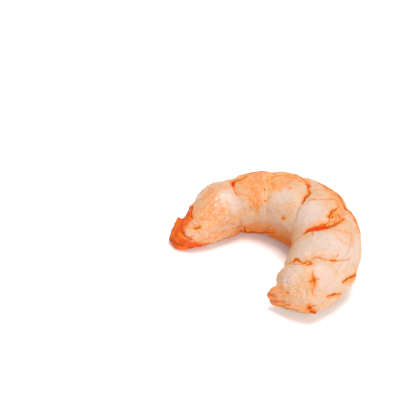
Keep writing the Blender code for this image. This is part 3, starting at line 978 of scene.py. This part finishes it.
def tinted(tree, colour, straight, mottle, speckle):
    """The orange tint, with a fine net of darker veins where it lies."""
    rough = calculate(tree, "ADD", mottle, times(tree, speckle, 0.9))
    tint = uneven(tree, "tint", rough, 0.72, 1.14, 0.40, 1.25)
    light = between(tree, grain(tree, straight, 0.8, 4.0, 0.65), 0.42, 0.60)
    wash = mixed(tree, light, ORANGE, LIGHT_ORANGE)
    colour = mixed(tree, calculate(tree, "MINIMUM", tint, 0.92), colour, wash)

    middle = calculate(tree, "SUBTRACT", grain(tree, straight, 0.95, 4.0, 0.62), 0.5)
    net = between(tree, calculate(tree, "ABSOLUTE", middle), 0.005, 0.034, 1.0, 0.0)
    veins = times(tree, net, between(tree, speckle, 0.42, 0.56))
    vein_share = between(tree, stored(tree, "tint"), 0.15, 0.7, 0.10, 0.90)
    return mixed(tree, times(tree, veins, vein_share), colour, VEIN)


def flesh_colour(tree, straight):
    """Cooked flesh: bare flesh first, then the belly's brown and painted shade, orange, skin and dark lines
    over it.
    """
    mottle = grain(tree, straight, 1.1, 4.0, 0.6)
    speckle = grain(tree, straight, 3.4, 3.0, 0.6)
    colour = bare_flesh(tree, straight, mottle, speckle)
    colour = browned_and_shaded(tree, colour, mottle, speckle)
    colour = tinted(tree, colour, straight, mottle, speckle)

    halo = uneven(tree, "halo", speckle, 0.30, 0.62, 0.80, 1.80)
    colour = mixed(tree, calculate(tree, "MINIMUM", halo, 0.92), colour, ORANGE)
    deep = uneven(tree, "deep", speckle, 0.30, 0.55, 0.75, 1.10)
    skin_share = between(tree, grain(tree, straight, 0.45, 2.0), 0.38, 0.62)
    skin = mixed(tree, skin_share, BRIGHT_ORANGE, DEEP_ORANGE)
    colour = mixed(tree, calculate(tree, "MINIMUM", deep, 0.98), colour, skin)

    ragged = times(tree, calculate(tree, "SUBTRACT", speckle, 0.5), 1.3)
    line = between(tree, calculate(tree, "ADD", stored(tree, "line"), ragged), -0.30, 0.55)
    line = times(tree, line, stored(tree, "line_strength"))
    redness = stored(tree, "line_redness")
    pigment = mixed(tree, redness, BROWN, RED)
    pigment = mixed(tree, between(tree, redness, -0.7, -0.3, 1.0, 0.0), pigment, YELLOW)
    return mixed(tree, line, colour, pigment)


def flesh_height(tree, straight):
    """Pores and strands of muscle, too fine for the mesh."""
    pores = grain(tree, straight, 2.4, 3.0, 0.6)
    muscle = grain(tree, scaled(tree, straight, (3.2, 0.30, 3.2)), 1.0, 3.0)
    return calculate(tree, "ADD", pores, muscle)


def new_material(name):
    material = bpy.data.materials.new(name)
    material.use_nodes = True
    return material, material.node_tree, material.node_tree.nodes["Principled BSDF"]


def flesh_material():
    """Wet flesh that lets light in, and a drier finish where pigment or skin covers it."""
    material, tree, shader = new_material("wet_flesh")
    straight = stored(tree, "straight", "Vector")

    covered = calculate(tree, "MAXIMUM", stored(tree, "deep"), stored(tree, "halo"))
    covered = calculate(tree, "MAXIMUM", covered, times(tree, stored(tree, "belly"), 0.8))
    film = grain(tree, straight, 0.9, 3.0)
    place = tree.nodes.new("ShaderNodeSeparateXYZ")
    put(tree, place.inputs[0], straight)
    wet = between(tree, place.outputs["Y"], *COAT_STRETCH, *COAT)
    bump = tree.nodes.new("ShaderNodeBump")
    put_all(tree, bump, (*BUMP, ("Height", flesh_height(tree, straight))))
    put_all(tree, shader, (
        *FLESH_FINISH,
        ("Base Color", flesh_colour(tree, straight)),
        ("Subsurface Weight", between(tree, covered, 0.0, 0.7, *SUBSURFACE)),
        ("Roughness", between(tree, film, 0.3, 0.7, *ROUGHNESS)),
        ("Specular IOR Level", between(tree, covered, 0.0, 0.8, *SPECULAR)),
        ("Coat Weight", times(tree, wet, between(tree, covered, 0.0, 0.8, *COAT_LEFT))),
        ("Normal", bump.outputs["Normal"]),
    ))
    return material


# The studio.

def add_object(name, data):
    thing = bpy.data.objects.new(name, data)
    bpy.context.scene.collection.objects.link(thing)
    return thing


def add_floor():
    half = FLOOR_HALF
    mesh = bpy.data.meshes.new("floor")
    corners = [(-half, -half, 0), (half, -half, 0), (half, half, 0), (-half, half, 0)]
    mesh.from_pydata(corners, [], [(0, 1, 2, 3)])
    material, tree, shader = new_material("white_floor")
    put_all(tree, shader, FLOOR_FINISH)
    mesh.materials.append(material)
    floor = add_object("floor", mesh)


def add_softbox(name, place, size, power):
    light = bpy.data.lights.new(name, "AREA")
    light.shape = "SQUARE"
    light.size = size
    light.energy = power
    lamp = add_object(name, light)
    lamp.location = place
    lamp.rotation_euler = (-Vector(place)).to_track_quat("-Z", "Y").to_euler()


def light_studio():
    """A white tent, a little brighter overhead, with a softbox above and one in front."""
    for softbox in SOFTBOXES:
        add_softbox(*softbox)
    world = bpy.data.worlds.new("studio")
    world.use_nodes = True
    tree = world.node_tree
    place = tree.nodes.new("ShaderNodeTexCoord")
    axes = tree.nodes.new("ShaderNodeSeparateXYZ")
    put(tree, axes.inputs[0], place.outputs["Generated"])
    background = tree.nodes["Background"]
    background.inputs["Color"].default_value = (1.0, 1.0, 1.0, 1.0)
    glow = between(tree, axes.outputs["Z"], 0.0, TENT_SINE, *TENT)
    put(tree, background.inputs["Strength"], glow)
    bpy.context.scene.world = world
    bpy.context.scene.view_settings.view_transform = "Standard"


def add_camera():
    data = bpy.data.cameras.new("camera")
    data.lens = LENS
    data.sensor_width = SENSOR
    data.clip_start = CLIP_START
    camera = add_object("camera", data)
    angle = np.radians(CAMERA_HEIGHT_ANGLE)
    back = Vector((0.0, -np.cos(angle), np.sin(angle)))
    camera.location = (Vector(CAMERA_LOOKS_AT) + back * CAMERA_AWAY) * MM
    camera.rotation_euler = Euler((np.pi / 2.0 - angle, 0.0, 0.0))
    bpy.context.scene.camera = camera


def add_shrimp():
    mesh = flesh_mesh()
    mesh.materials.append(flesh_material())
    shrimp = add_object("peeled_flesh", mesh)
    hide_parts("shrimp")
    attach(shrimp, "root")


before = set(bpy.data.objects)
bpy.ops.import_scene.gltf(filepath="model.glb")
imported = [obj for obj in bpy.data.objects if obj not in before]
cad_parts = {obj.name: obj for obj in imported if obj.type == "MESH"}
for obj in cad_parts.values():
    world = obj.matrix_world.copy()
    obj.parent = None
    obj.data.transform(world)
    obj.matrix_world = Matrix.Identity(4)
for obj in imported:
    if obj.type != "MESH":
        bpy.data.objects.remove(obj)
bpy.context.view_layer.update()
add_camera()
light_studio()
add_floor()
add_shrimp()
